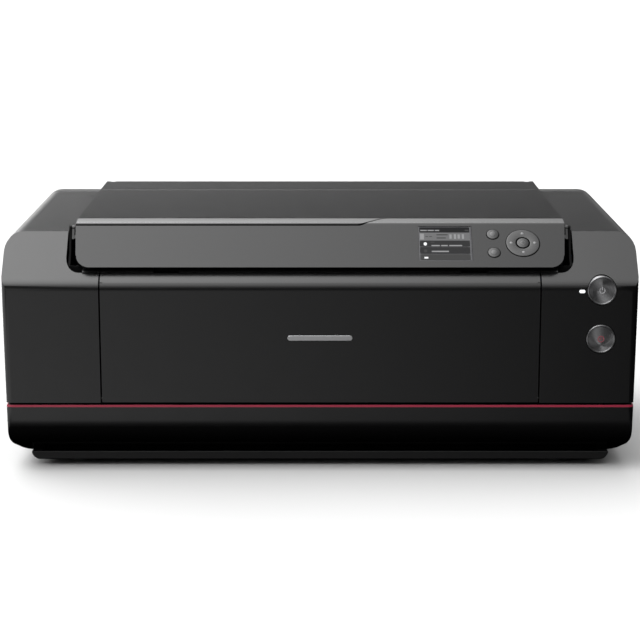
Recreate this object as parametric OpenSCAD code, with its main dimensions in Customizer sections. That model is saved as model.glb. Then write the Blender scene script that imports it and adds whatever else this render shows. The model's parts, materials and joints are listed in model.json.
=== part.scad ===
// Desktop inkjet photo printer, built as an assembly of separate pieces.
// Millimetres, +Z up. X runs across the width, and the front faces -Y.
// Inside the modules Y is counted back from the front face; placed() moves it to the frame's origin.

/* [Body] */
// Overall width
body_w = 723; // [722:0.5:724]
// Overall depth, the rear feed housing included
body_d = 433; // [430:1:436]
// Height of the lid's top face above the surface it stands on
body_h = 285; // [284.5:0.5:286]
// Wall thickness of the outer covers
wall = 3; // [2.5:0.5:3]
// Height of the rubber feet under the base plate
foot_h = 8; // [6:1:8]

/* [Front] */
// Width of the output door between its side seams
door_w = 499; // [496:1:499]
// Width of the control fascia and of the lid behind it
lid_w = 562; // [560:1:562]
// Lean of the control fascia, from the horizontal
fascia_angle = 42.5; // [42:0.5:43]
// Diameter of the power and stop buttons
push_d = 33; // [30:1:33]

/* [Mechanism] */
// Number of ink tanks in the bay
tank_count = 12; // [8:1:12]
// Number of rubber sleeves on the exit roller
sleeve_count = 6; // [4:1:8]

/* [Hidden] */
$fn = 32;

half_w = body_w / 2;
base_z = foot_h;                 // underside of the base plate
housing_z = foot_h + 10;         // underside of the lower housing
strip_top = 79.4;                // top of the lower housing and its accent strip
cover_z = 82;                    // lower edge of the door and the front covers
face_top = 216;                  // where the vertical front face starts to lean back
deck_z = 273;                    // top of the side decks
deck_y = 50;                     // where the sloping shoulder reaches the deck
brow_r = 20;                     // round between the front face and the shoulder
keel_r = 40;                     // round between the front face and the underside
shell_d = 393;                   // depth of the body without the rear feed housing
seam = 0.6;                      // gap between neighbouring covers
recess_half = 289.5;             // half width of the recess round the control fascia
lid_half = lid_w / 2;
lid_side = lid_half - 0.4;        // the lid and the tray cover stay clear of the hinge ears
proud = 1.2;                     // how far the buttons stand out of the front face
rear_y = body_d - proud;         // back of the rear feed housing
door_half = door_w / 2;
pillar_x = door_half + 1.8;      // inner edge of the front covers
arc_n = 6;                       // straight steps in each rounded corner of an outline

// Paper feed: gear sizes, and axes as [y, z]
gear_module = 1.4;
feed_axis = [232, 109];
idler_axis = [176, 109];
exit_axis = [120, 109];
roller_r = 10;
shaft_r = 4;
feed_teeth = 40;
idler_teeth = 40;
pinion_teeth = 12;
pinion_reach = gear_module * (feed_teeth + pinion_teeth) / 2;
pinion_axis = feed_axis + pinion_reach * [cos(-45), sin(-45)];

// Carriage, rail and belt
park_x = 262;
rail_x0 = -324;
rail_x1 = 336;
shaft_axis = [232, 160];
belt_z = 185;
belt_r = 8;
belt_y = 241;
drive_x = -300;
idle_x = 318;

// Hinge axes, as [y, z]
door_axis = [5.6, 86];
fascia_axis = [46, 277];
lid_axis = [295, 279];
tray_axis = [379, 279];
manual_axis = [rear_y - 8.5, 128];

// Slope of the control fascia: its lower edge, and the length of its flat face
fascia_y0 = 5;
fascia_z0 = 239;
fascia_len = 61.5;
fascia_top_y = 69;
lid_front_y = 70.5;
brow_round = 8;                  // round between the fascia's face and the brow's ramp
brow_slope = 9.7;
lid_rear_y = 299;
tray_cover_y0 = 302;
tray_cover_y1 = 383;

// ---------------------------------------------------------------- helpers

function arc(c, r, a0, a1, n = arc_n) =
    [for (i = [0:n]) let (a = a0 + (a1 - a0) * i / n) c + r * [cos(a), sin(a)]];

// A 2-D outline in Y and Z, carried along X
module along_x(x0, x1) translate([x0, 0, 0]) rotate([90, 0, 90]) linear_extrude(x1 - x0) children();

// A 2-D outline in X and Z, carried along Y
module along_y(y0, y1) translate([0, y1, 0]) rotate([90, 0, 0]) linear_extrude(y1 - y0) children();

// A box from one corner to the other
module box(lo, hi) translate(lo) cube(hi - lo);

// A rod along X or Y, centred on an axis given by the other two coordinates
module rod_x(x0, x1, at, r) translate([x0, at.x, at.y]) rotate([0, 90, 0]) cylinder(h = x1 - x0, r = r);
module rod_y(y0, y1, x, z, r) translate([x, y1, z]) rotate([90, 0, 0]) cylinder(h = y1 - y0, r = r);

// Moves a piece from the front-face coordinates to the frame
module placed() translate([0, proud - body_d / 2, 0]) children();

// The same piece on both sides of the middle plane
module both() {
    children();
    mirror([1, 0, 0]) children();
}

// Puts a piece on the fascia's sloping face: x across, s up the slope, local Z outward
module on_fascia(x, s)
    translate([x, fascia_y0 + s * cos(fascia_angle), fascia_z0 + s * sin(fascia_angle)])
        rotate([fascia_angle, 0, 0]) children();

// ---------------------------------------------------------------- body outline

// Side outline of the body, shrunk by t on every face
module side_outline(t) {
    shoulder_t = t * 0.41;
    polygon(concat(
        [[shell_d - t, housing_z + t], [shell_d - t, deck_z - t]],
        [[deck_y + shoulder_t, deck_z - t]],
        arc([brow_r, face_top - 4.5], brow_r - t, 135, 180),
        arc([keel_r, housing_z + keel_r + 4], keel_r - t, 180, 248),
        [[keel_r - 8 + t, housing_z + t]]
    ));
}

// Front outline of the body, shrunk by t on every face
module front_outline(t) {
    low_r = 24;
    top_r = 20;
    low_x = half_w - 2.5;
    polygon(concat(
        arc([low_x - low_r, housing_z + low_r], low_r - t, -90, 0),
        [[half_w - t, face_top]],
        arc([half_w - top_r, deck_z - top_r], top_r - t, 0, 90),
        arc([-half_w + top_r, deck_z - top_r], top_r - t, 90, 180),
        [[-half_w + t, face_top]],
        arc([-low_x + low_r, housing_z + low_r], low_r - t, 180, 270)
    ));
}

// Plan outline of the body, shrunk by t on every face
module plan_outline(t) {
    front_r = 8;
    rear_r = 20;
    polygon(concat(
        arc([half_w - front_r, front_r], front_r - t, -90, 0),
        arc([half_w - rear_r, shell_d - rear_r], rear_r - t, 0, 90),
        arc([-half_w + rear_r, shell_d - rear_r], rear_r - t, 90, 180),
        arc([-half_w + front_r, front_r], front_r - t, 180, 270)
    ));
}

module body_block(t) intersection() {
    along_x(-half_w, half_w) side_outline(t);
    along_y(-1, body_d) front_outline(t);
    linear_extrude(body_h) plan_outline(t);
}

module body_shell() difference() {
    body_block(0);
    body_block(wall);
}

// The recess round the control fascia, seen from the front
module recess_cut() {
    r = 15;
    floor_z = 231.4;
    along_y(-1, deck_y + 12)
        polygon(concat(
            arc([-recess_half + r, floor_z + r], r, 180, 270),
            arc([recess_half - r, floor_z + r], r, 270, 360),
            [[recess_half, body_h], [-recess_half, body_h]]
        ));
}

// ---------------------------------------------------------------- base and lower housing

module rubber_feet() color("dimgray")
    for (x = [-280, 280], y = [62, 345])
        translate([x, y, 0]) cylinder(h = foot_h, r = 14);

// Shallow pan under the printer
plate_half = 336;
plate_r = 10;
module base_plate() color("black") difference() {
    along_y(24, 388)
        polygon(concat(
            arc([plate_half - plate_r, base_z + plate_r], plate_r, -90, 0),
            arc([-plate_half + plate_r, base_z + plate_r], plate_r, 180, 270)
        ));
    box([-plate_half + plate_r + wall, 27, base_z + wall], [plate_half - plate_r - wall, 385, housing_z + 1]);
}

// Where the service cartridge leaves through the right wall
cart_y = [112, 228];
cart_z = [44, 76];
// Openings in the rear wall for the sockets
inlet_x = -255;
inlet_z = 52;
usb_x = 175;
lan_x = 205;
port_z = 46;

module lower_housing() color("#1c1c1e") difference() {
    union() {
        intersection() {
            body_shell();
            box([-400, -1, 0], [400, 400, strip_top]);
        }
        // cradle of the service cartridge
        for (y = [116, 216]) box([226, y, housing_z + wall - 0.5], [330, y + 8, cart_z[0] - 0.4]);
    }
    box([half_w - 12, cart_y[0] - 0.5, cart_z[0] - 0.5], [half_w + 1, cart_y[1] + 0.5, cart_z[1] + 0.5]);
    box([inlet_x - 14.5, shell_d - 5, inlet_z - 12.5], [inlet_x + 14.5, shell_d + 1, inlet_z + 12.5]);
    box([usb_x - 7, shell_d - 5, port_z - 6.5], [usb_x + 7, shell_d + 1, port_z + 6.5]);
    box([lan_x - 9, shell_d - 5, port_z - 7.5], [lan_x + 9, shell_d + 1, port_z + 7.5]);
    // seat of the accent strip
    strip_band(-1, 1.3, strip_top - 2.6, strip_top + 1, 40.2);
}

// Band that follows the front face and its corners
module strip_band(t0, t1, z0, z1, back) difference() {
    intersection() {
        body_block(t0);
        box([-400, -5, z0], [400, back, z1]);
    }
    body_block(t1);
}
module accent_strip() color("crimson") strip_band(0.1, 1.2, strip_top - 2.5, strip_top - 0.1, 40);

// ---------------------------------------------------------------- front and side covers

power_x = 319.5;
power_z = 213;
stop_z = 157;
lamp_x = 297;
lamp_z = 212;
lamp_r = 1.8;

// The left front cover; the right one is its mirror image, with holes for the buttons
module front_cover() {
    difference() {
        intersection() {
            body_shell();
            box([-400, -1, cover_z], [-pillar_x, deck_y, 400]);
        }
        recess_cut();
    }
    // inner return wall beside the door, with the door's pivot hole
    difference() {
        box([-pillar_x - wall, wall, cover_z], [-pillar_x, 58, face_top - 2]);
        rod_x(-pillar_x - 5, -pillar_x + 1, door_axis, 2.06);
    }
}

module left_front_cover() color("#2b2b2d") front_cover();

module right_front_cover() color("#2b2b2d") difference() {
    mirror([1, 0, 0]) front_cover();
    for (z = [power_z, stop_z]) rod_y(-1, 30, power_x, z, push_d / 2 + 0.5);
    lamp_shape(-1, 30, 0.2);
}

// Side wall with the deck above it
module side_cover() intersection() {
    difference() {
        body_shell();
        box([-lid_half - 2, -1, deck_z - 20], [400, 500, 400]);
        box([-recess_half, deck_y - 1, deck_z - 20], [-lid_half - 1, 84, 400]);
        // hole for the stay that holds the lid up
        translate([-295, 329, deck_z - 5]) cylinder(h = 10, r = 2.2);
    }
    box([-400, deck_y + seam, strip_top + seam], [-200, shell_d - 22, 400]);
}

module left_side_cover() color("#333335") side_cover();
module right_side_cover() color("#333335") mirror([1, 0, 0]) side_cover();

// Rear wall, the raised rail behind the tray cover, and the housing of the rear feed
feed_half = 262;
feed_z0 = 118;
feed_z1 = 252;

module rear_cover() color("#1c1c1e") difference() {
    union() {
        difference() {
            intersection() {
                body_shell();
                box([-400, shell_d - 22 + seam, strip_top + seam], [400, 500, 400]);
            }
            // throat of the rear tray
            box([-lid_half - 2, 300, deck_z - 12], [lid_half + 2, 386.5, body_h]);
        }
        along_x(-feed_half, feed_half)
            polygon(concat(
                [[shell_d - 1, feed_z0]],
                arc([rear_y - 10, feed_z0 + 10], 10, -90, 0),
                arc([rear_y - 24, feed_z1 - 24], 24, 0, 90),
                [[shell_d - 1, feed_z1]]
            ));
        // rail behind the tray cover, and floor of the rear feed path
        box([-lid_half, 386.5, deck_z - wall], [lid_half, shell_d - 1, 281]);
        box([-240, 262, feed_z0 - 1], [240, shell_d, feed_z0 + 2]);
        // arms that carry the tray cover's pivots
        both() {
            along_x(270.5, 273.5) hinge_arm(tray_axis, 262);
            box([270.5, tray_axis.x - 2.7, 262], [273.5, shell_d - 1, 266]);
        }
    }
    // inside of the rear feed housing, open to the back and to the front
    along_x(-feed_half + wall, feed_half - wall)
        polygon([[shell_d - 5, feed_z0 + wall], [rear_y + 1, feed_z0 + wall], [rear_y + 1, feed_z1 - 26],
                 [rear_y - 26, feed_z1 - wall], [shell_d - 5, feed_z1 - wall]]);
    for (p = screw_places) rod_y(370, body_d, p.x, p.y, 1.7);
    both() {
        rod_x(270, 274, tray_axis, 1.56);
        rod_x(feed_half - 4, feed_half + 1, manual_axis, 2.06);
    }
}

// Upright arm with a round top, in Y and Z
module hinge_arm(axis, z0) {
    translate(axis) circle(r = 2.7);
    translate([axis.x - 2.7, z0]) square([5.4, axis.y - z0]);
}

screw_places = [[-330, 100], [-330, 235], [330, 100], [330, 235], [-200, 96], [200, 96]];

module case_screws() color("silver")
    for (p = screw_places) {
        rod_y(shell_d, shell_d + 1.6, p.x, p.y, 3.2);
        rod_y(shell_d - 10, shell_d, p.x, p.y, 1.5);
    }

// Black inner frame: the recess walls beside the fascia, the lip above the door, the ring under the lid
grip_x = 175;
module upper_frame() color("#101011") {
    both() {
        // wall of the recess, and the pin that the fascia turns on
        along_x(285, 287.4) {
            polygon([[16, 228], [16, 232], [50, 266], [84, 266], [84, 228]]);
            polygon([[34, 249], [fascia_axis.x - 3.2, fascia_axis.y],
                     [fascia_axis.x + 3.2, fascia_axis.y], [54, 265]]);
            translate(fascia_axis) circle(r = 3.2);
        }
        rod_x(281.6, 286, fascia_axis, 1.5);
        box([270, 83, 262], [286, 284, 265]);
        difference() {
            along_x(270.5, 273.5) hinge_arm(lid_axis, 263);
            rod_x(270, 274, lid_axis, 1.56);
        }
    }
    box([-286, 282, 262], [286, 298, 265]);
    box([-286, 19, 226], [286, 21, 238]);
    difference() {
        // lip above the door, with two notches for the fingertips that pull the door open
        along_x(-270, 270) polygon([[9.6, 232.4], [12.6, 236], [19.5, 236], [19.5, 232.4]]);
        both() box([grip_x - 14.5, 5, 227], [grip_x + 14.5, 18, 240]);
    }
}

// ---------------------------------------------------------------- output door

door_top_z = 231.4;
tray_half = door_half - 3.5;

// Outer skin of the door, with a rolled top edge and pivots at its lower corners
module output_door() color("#232325") {
    intersection() {
        body_shell();
        box([-door_half, -1, cover_z + 0.6], [door_half, 16, door_top_z]);
    }
    both() {
        // side rim and the pivot it carries
        box([door_half - 3, wall - 0.5, 90], [door_half, 12, 222]);
        box([door_half - 3, wall - 0.5, 84], [door_half, 9, 91]);
        rod_x(door_half - 3, door_half + 5, door_axis, 2);
    }
}

// Inner face of the door: the surface that sheets land on when it is open
module output_tray_panel() color("#161617") difference() {
    union() {
        box([-tray_half, 18.5, 92], [tray_half, 20.5, 222]);
        for (x = [-200:50:200]) box([x - 1, 20, 96], [x + 1, 22, 216]);
        both() box([tray_half - 4, wall + 0.3, 94], [tray_half, 19, 211]);
    }
    box([-30, 18, 205], [30, 23, 230]);
}

// Sliding extension held between the door's skin and its inner face
module output_extension() color("#202022") difference() {
    box([-tray_half + 5, 15.9, 96], [tray_half - 5, 18.2, 220]);
    box([-22, 13, 206], [22, 19, 213]);
}

// Plain nameplate without lettering
module name_plate() color("silver")
    along_y(-0.8, 0)
        union() {
            translate([-34, 155]) square([68, 6]);
            translate([-34, 158]) circle(r = 3);
            translate([34, 158]) circle(r = 3);
        }

// ---------------------------------------------------------------- control fascia and its buttons

lcd_x = 143.2;
lcd_s = 34.2;
lcd_w = 60.8;
lcd_h = 49.6;
ring_x = 231.6;
ring_s = 34.4;
home_at = [197.8, 47.1];
back_at = [198.2, 20.9];
small_r = 6.9;
ring_r = 19.1;
ok_r = 6.9;
key_gap = 0.7;                   // dark gap left round the keys and the ring
fascia_cos = cos(fascia_angle);
fascia_sin = sin(fascia_angle);
brow_y = fascia_y0 + fascia_len * fascia_cos;
brow_z = fascia_z0 + fascia_len * fascia_sin;
step_x0 = 45;                    // where the parting line leaves the fascia's top edge
step_x1 = 78;                    // where it reaches the lid's front edge

// The brow seen from the side: a round that leaves the fascia's face and turns into the shallow ramp
brow_curve = arc([brow_y + brow_round * fascia_sin, brow_z - brow_round * fascia_cos], brow_round,
                 90 + fascia_angle, 90 + brow_slope);

// Side outline of the fascia: sloping face, then the brow up to the lid's level
module fascia_outline()
    polygon(concat(
        [[fascia_y0 + 1.5, fascia_z0 - 0.8], [fascia_y0, fascia_z0]],
        brow_curve,
        [[fascia_top_y, body_h - 0.3], [fascia_top_y, deck_z - 2], [brow_y + 4, deck_z - 6],
         [fascia_y0 + 12, fascia_z0 - 1]]
    ));

// Region of the fascia in plan: it stops at the brow on the left and runs back to the lid on the right
module fascia_plan(gap) {
    n = 8;
    y0 = brow_y - gap;
    y1 = fascia_top_y;
    polygon(concat(
        [[-lid_half, -1], [lid_half, -1], [lid_half, y1]],
        [for (i = [n:-1:0]) s_step(i / n, step_x0, y0, y1)],
        [[-lid_half, y0]]
    ));
}

// Point on the S-shaped step of the parting line, from its foot at u = 0 to its head at u = 1
function s_step(u, x0, y0, y1) =
    [x0 + (step_x1 - step_x0) * u, y0 + (y1 - y0) * (3 * u * u - 2 * u * u * u)];

// Narrows the fascia towards its lower edge and rounds the lower corners, seen square to its face
taper = 4.5;
module corner_cut(r) {
    both() {
        on_fascia(lid_half - taper - r + 0.6, r - 0.25)
            difference() {
                translate([0, -r - 1, -30]) cube([r + 6, r + 1, 60]);
                translate([0, 0, -31]) cylinder(h = 62, r = r);
            }
        on_fascia(0, 0) translate([0, 0, -30]) linear_extrude(60)
            polygon([[lid_half - taper, -2], [lid_half + 0.1, fascia_len], [lid_half + 9, fascia_len],
                     [lid_half + 9, -2]]);
    }
}

module control_fascia() color("#3a3a3c") {
    fascia_body();
    // ears that turn on the frame's pins
    both() {
        difference() {
            along_x(lid_half + 0.4, lid_half + 3) {
                translate(fascia_axis) circle(r = 3.2);
                polygon([[fascia_axis.x - 3.1, fascia_axis.y], [fascia_axis.x - 9, fascia_axis.y - 11],
                         [fascia_axis.x, fascia_axis.y - 12], [fascia_axis.x + 1.5, fascia_axis.y - 2.5]]);
            }
            rod_x(lid_half, lid_half + 4, fascia_axis, 1.56);
        }
        along_x(lid_half - 4, lid_half + 1)
            polygon([[fascia_axis.x - 6, fascia_axis.y - 7], [fascia_axis.x - 8, fascia_axis.y - 10.5],
                     [fascia_axis.x - 0.5, fascia_axis.y - 11.5], [fascia_axis.x, fascia_axis.y - 7]]);
    }
}

module fascia_body() difference() {
    intersection() {
        difference() {
            along_x(-lid_half, lid_half) fascia_outline();
            along_x(-lid_half + 7, lid_half - 7)
                polygon([[fascia_y0 + 3, fascia_z0 - 4],
                         [fascia_y0 + 2.6, fascia_z0 + 0.2],
                         [brow_y + 2, brow_z - 3.2],
                         [fascia_top_y - 2.5, body_h - 4],
                         [fascia_top_y - 2.5, deck_z - 10],
                         [brow_y - 4, deck_z - 14]]);
        }
        linear_extrude(400) fascia_plan(1.2);
    }
    corner_cut(17);
    on_fascia(lcd_x, lcd_s)
        translate([-lcd_w / 2 - 0.2, -lcd_h / 2 - 0.2, -20]) cube([lcd_w + 0.4, lcd_h + 0.4, 40]);
    for (p = [home_at, back_at]) key_hole(p.x, p.y, small_r + key_gap);
    key_hole(ring_x, ring_s, ring_r + key_gap);
}
module key_hole(x, up, r) on_fascia(x, up) translate([0, 0, -20]) cylinder(h = 40, r = r);

module lcd_screen() color("#0a0a10")
    on_fascia(lcd_x, lcd_s) {
        translate([-lcd_w / 2, -lcd_h / 2, -6]) cube([lcd_w, lcd_h, 5.4]);
        translate([-lcd_w / 2 + 1, -lcd_h / 2 + 1, -0.6]) cube([lcd_w - 2, lcd_h - 2, 0.3]);
    }

module small_button(at) on_fascia(at.x, at.y) translate([0, 0, -5]) cylinder(h = 5.8, r = small_r);
module home_button() color("gray") small_button(home_at);
module back_button() color("gray") small_button(back_at);
module direction_ring() color("dimgray")
    on_fascia(ring_x, ring_s) translate([0, 0, -5]) difference() {
        cylinder(h = 5.9, r = ring_r, $fn = 64);
        translate([0, 0, -1]) cylinder(h = 10, r = ok_r + 1.1);
    }
module ok_button() color("silver")
    on_fascia(ring_x, ring_s) translate([0, 0, -5]) cylinder(h = 6.2, r = ok_r);

// ---------------------------------------------------------------- lid and rear tray

// Plan of the lid: its front edge steps forward on the left, over the fascia's brow
module lid_plan() {
    n = 8;
    y0 = brow_y + 0.8;
    y1 = lid_front_y;
    polygon(concat(
        [[-lid_half, y0]],
        [for (i = [0:n]) s_step(i / n, step_x0 - 1.2, y0, y1)],
        [[lid_half, y1], [lid_half, lid_rear_y], [-lid_half, lid_rear_y]]
    ));
}

// Side outline of the lid, with its brow ramping down at the front
module lid_outline()
    polygon(concat(
        [[brow_y, deck_z + 2.5]],
        brow_curve,
        [[fascia_top_y, body_h - 0.3], [lid_front_y + 2, body_h], [lid_rear_y - 1.5, body_h],
         [lid_rear_y, body_h - 1.5], [lid_rear_y, deck_z + 0.6], [lid_front_y, deck_z + 0.6]]
    ));

module top_cover() color("#3a3a3c") {
    difference() {
        intersection() {
            along_x(-lid_side, lid_side) lid_outline();
            linear_extrude(400) lid_plan();
        }
        // hollow underside; a rim stays all round
        along_x(-lid_side + 2.5, lid_side - 2.5)
            polygon([[lid_front_y + 3, deck_z - 1], [lid_front_y + 3, body_h - 3], [lid_axis.x - 8, body_h - 3],
                     [lid_axis.x - 8, deck_z - 1]]);
        along_x(-lid_side + 2.5, step_x0 - 4)
            polygon([[brow_y + 3.2, deck_z - 1], [brow_y + 3.2, brow_z - 1.6], [lid_front_y + 4, body_h - 3],
                     [lid_front_y + 4, deck_z - 1]]);
        both() box([269, lid_axis.x - 9, 260], [275, 320, body_h - 3]);
    }
    both() rod_x(268, 276, lid_axis, 1.5);
}

// Cover over the rear tray; opened, it leans back and carries the paper supports
module rear_tray_cover() color("#3a3a3c") {
    difference() {
        along_x(-lid_side, lid_side)
            polygon([[tray_cover_y0, body_h - 11], [tray_cover_y0, body_h - 1], [tray_cover_y0 + 1, body_h],
                     [tray_cover_y1 - 3, body_h], [tray_cover_y1, body_h - 3], [tray_cover_y1, body_h - 8],
                     [tray_cover_y1 - 3, body_h - 11]]);
        box([-lid_side + 2.5, tray_cover_y0 + 2.5, 200], [lid_side - 2.5, tray_cover_y1 - 10, body_h - 3]);
        box([-204, tray_cover_y0 - 1, 200], [204, tray_cover_y0 + 3, body_h - 3]);
        both() {
            box([269, tray_axis.x - 9, 200], [275, 400, body_h - 3]);
            box([269, tray_axis.x - 3, 200], [275, 400, 300]);
        }
    }
    both() rod_x(268, 276, tray_axis, 1.5);
}

module paper_support_middle() color("#1c1c1e") difference() {
    box([-200, tray_cover_y0 + 1, body_h - 6.6], [200, tray_cover_y1 - 12, body_h - 3.4]);
    for (x = [-185, -60, 65])
        box([x, tray_cover_y0 + 9, body_h - 8], [x + 120, tray_cover_y1 - 20, body_h + 1]);
}

module paper_support_top() color("#1c1c1e") difference() {
    box([-150, tray_cover_y0 + 1, body_h - 10.4], [150, tray_cover_y1 - 12, body_h - 7.2]);
    for (x = [-138, 6]) box([x, tray_cover_y0 + 9, body_h - 12], [x + 132, tray_cover_y1 - 20, body_h]);
}

// Sloping bed of the rear tray, in a local frame: local Y runs up the bed, local Z towards the paper
bed_foot = [292, 132];
bed_head = [378, 268];
bed_len = norm(bed_head - bed_foot);
bed_angle = atan2(bed_head.y - bed_foot.y, bed_head.x - bed_foot.x);
module on_bed() translate([0, bed_foot.x, bed_foot.y]) rotate([bed_angle, 0, 0]) children();

module rear_tray() color("#1a1a1b") {
    on_bed() {
        difference() {
            translate([-236, 0, -3]) cube([472, bed_len - 4, 3]);
            // slots that the paper guides run in
            both() translate([96, 95, -5]) cube([128, 6, 10]);
        }
        for (x = [-45, 45]) translate([x - 12, 2, -0.5]) cube([24, 8, 1.5]);
    }
    box([-228, 373, 260.5], [228, 386.5, 263.5]);
}

module paper_guide() on_bed() {
    translate([216, 60, 0.4]) cube([2.5, 76, 18]);
    translate([206, 95.5, -4.5]) cube([11, 5, 5.5]);
}
module paper_guide_right() color("#2a2a2c") paper_guide();
module paper_guide_left() color("#2a2a2c") mirror([1, 0, 0]) paper_guide();

// Flap of the rear feed, hinged along its lower edge
module manual_feed_tray() color("#202022") {
    difference() {
        along_x(-feed_half + 4, feed_half - 4)
            polygon([[rear_y - 6, feed_z0 + 8], [rear_y - 1, feed_z0 + 12], [rear_y - 1, feed_z1 - 27],
                     [rear_y - 5, feed_z1 - 31], [rear_y - 5, feed_z0 + 14], [rear_y - 10, feed_z0 + 14]]);
        box([-40, rear_y - 3, 205], [40, rear_y + 1, 217]);
    }
    both() {
        rod_x(feed_half - 12, feed_half - 4, manual_axis, 3.5);
        rod_x(feed_half - 5, feed_half - 0.5, manual_axis, 2);
    }
}

// ---------------------------------------------------------------- front buttons

module push_button(z) {
    rod_y(-proud, 6, power_x, z, push_d / 2, $fn = 64);
    rod_y(6, 9, power_x, z, 6);
}
module power_button() color("silver") push_button(power_z);
module stop_button() color("silver") push_button(stop_z);

// Rounded slot shape of the status lamp
module lamp_shape(y0, y1, gap) {
    for (x = [-1.6, 1.6]) rod_y(y0, y1, lamp_x + x, lamp_z, lamp_r + gap);
    box([lamp_x - 1.6, y0, lamp_z - lamp_r - gap], [lamp_x + 1.6, y1, lamp_z + lamp_r + gap]);
}
module power_lamp() color("white") lamp_shape(-0.4, 6, 0);

// ---------------------------------------------------------------- chassis

// Steel plates at both ends of the mechanism
module side_frame(x, notch) difference() {
    box([x, 92, housing_z + wall + 0.5], [x + 2, 300, 236]);
    for (a = [feed_axis, exit_axis]) rod_x(x - 1, x + 3, a, shaft_r + 0.06);
    rod_x(x - 1, x + 3, pinch_axis, 2.06);
    rod_x(x - 1, x + 3, spur_axis, 2.06);
    rod_x(x - 1, x + 3, idler_axis, 3.06);
    rod_x(x - 1, x + 3, pinion_axis, 4);
    rod_x(x - 1, x + 3, pickup_axis, 3.06);
    if (notch) box([x - 1, cart_y[0] - 4, 0], [x + 3, cart_y[1] + 4, cart_z[1] + 4]);
}
module side_frames() color("lightgray") {
    side_frame(rail_x0 - 2, false);
    side_frame(rail_x1, true);
}

pinch_axis = [232, feed_axis.y + roller_r + 5.3];
spur_axis = [120, exit_axis.y + roller_r - 1 + 8.3];
pickup_axis = [292.5, 157.5];

// Folded steel beam that the carriage runs along, with the idler's axle
module carriage_rail() color("silver") difference() {
    union() {
        box([rail_x0, 273, 150], [rail_x1, 275, 217]);
        box([rail_x0, 250, 150], [rail_x1, 273, 152]);
        box([rail_x0, 250, 215], [rail_x1, 273, 217]);
        rod_y(236, 273, idle_x, belt_z, 2.5);
    }
    rod_y(270, 280, drive_x, belt_z, 4);
}

module guide_shaft() color("white") rod_x(rail_x0, rail_x1, shaft_axis, 5);
module encoder_strip() color("lightgray") box([rail_x0, 225.8, 204], [rail_x1, 226.2, 214]);

module belt_outline(r) {
    translate([drive_x, belt_z - r]) square([idle_x - drive_x, 2 * r]);
    for (x = [drive_x, idle_x]) translate([x, belt_z]) circle(r = r);
}
module timing_belt() color("#111111") along_y(belt_y - 2.8, belt_y + 2.8) difference() {
    belt_outline(belt_r + 0.7);
    belt_outline(belt_r - 0.7);
}

// Toothed pulley with two flanges, turning about Y
module pulley(x, bore) difference() {
    union() {
        rod_y(belt_y - 4.2, belt_y - 3.2, x, belt_z, belt_r + 2);
        rod_y(belt_y - 3.2, belt_y + 3.2, x, belt_z, belt_r - 1);
        rod_y(belt_y + 3.2, belt_y + 4.2, x, belt_z, belt_r + 2);
    }
    if (bore > 0) rod_y(belt_y - 6, belt_y + 6, x, belt_z, bore);
    // a spoke hole, so that the turning shows
    rod_y(belt_y - 6, belt_y + 6, x + 4.6, belt_z, 1.1);
}
module drive_pulley() color("goldenrod") {
    pulley(drive_x, 0);
    rod_y(belt_y + 4.2, 290, drive_x, belt_z, 2.5);
}
module idler_pulley() color("white") pulley(idle_x, 2.56);

// Carriage motor behind the rail, and feed motor on the left frame
module drive_motors() color("dimgray") {
    difference() {
        union() {
            rod_y(275, 312, drive_x, belt_z, 17);
            rod_y(312, 315, drive_x, belt_z, 6);
        }
        rod_y(270, 292, drive_x, belt_z, 2.56);
    }
    difference() {
        rod_x(rail_x0, rail_x0 + 38, pinion_axis, 19);
        rod_x(rail_x0 - 1, rail_x0 + 12, pinion_axis, 2.56);
    }
}

// ---------------------------------------------------------------- carriage

carriage_half = 54;
module carriage() color("#2e2e30") {
    translate([park_x, 0, 0]) {
        difference() {
            box([-carriage_half, 132, 130], [carriage_half, 222, 238]);
            // well that the print head drops into
            box([-carriage_half + 4, 138, 120], [carriage_half - 4, 212, 260]);
        }
        // bushing block on the guide shaft, and jaws that grip the lower run of the belt
        difference() {
            box([-28, 221, 148], [28, 246, 176]);
            rod_x(-40, 40, shaft_axis, 5.06);
        }
        box([-28, 221, 175], [28, 237.6, 181.5]);
        box([-28, 237, 178], [28, 246, 181.5]);
        // arm that rides on the rail's upper flange
        box([-20, 221, 224], [20, 262, 228]);
        box([-20, 254, 217.4], [20, 262, 224]);
        // lugs of the locking lever
        for (s = [-1, 1]) difference() {
            box([s * 34 - 3, 122, 226], [s * 34 + 3, 133, 236]);
            rod_x(s * 34 - 4, s * 34 + 4, lever_axis, 2.06);
        }
    }
}

lever_axis = [126, 231];
module head_lock_lever() color("#4a6fa5") translate([park_x, 0, 0]) {
    rod_x(-38, 38, lever_axis, 2);
    box([-28, 124.5, 201], [28, 127.5, 230]);
    box([-10, 119, 201], [10, 125, 205]);
}

module print_head() color("#151517") translate([park_x, 0, 0]) {
    box([-carriage_half + 5, 139, 126], [carriage_half - 5, 211, 232]);
    box([-34, 146, 122.2], [34, 204, 126]);
    for (i = [0:11]) translate([-44 + i * 8, 175, 232]) cylinder(h = 6, r = 2.6);
}

// ---------------------------------------------------------------- paper feed

// Outline of a spur gear with straight-flanked teeth; a tooth points along angle a0
module gear_outline(teeth, a0) {
    m = gear_module;
    rp = m * teeth / 2;
    ro = rp + 0.8 * m;
    ri = rp - 1.2 * m;
    step = 360 / teeth;
    polygon([for (i = [0:teeth - 1], p = [[ri, -0.3], [ro, -0.11], [ro, 0.11], [ri, 0.3]])
        let (a = a0 + (i + p.y) * step) p.x * [cos(a), sin(a)]]);
}
gear_x = [-338, -330];
module gear(at, teeth, a0) difference() {
    along_x(gear_x[0], gear_x[1]) translate(at) gear_outline(teeth, a0);
    if (teeth > 30) for (k = [0:5])
        rod_x(gear_x[0] - 1, gear_x[1] + 1, at + 15 * [cos(60 * k + 30), sin(60 * k + 30)], 4.5);
}

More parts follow.
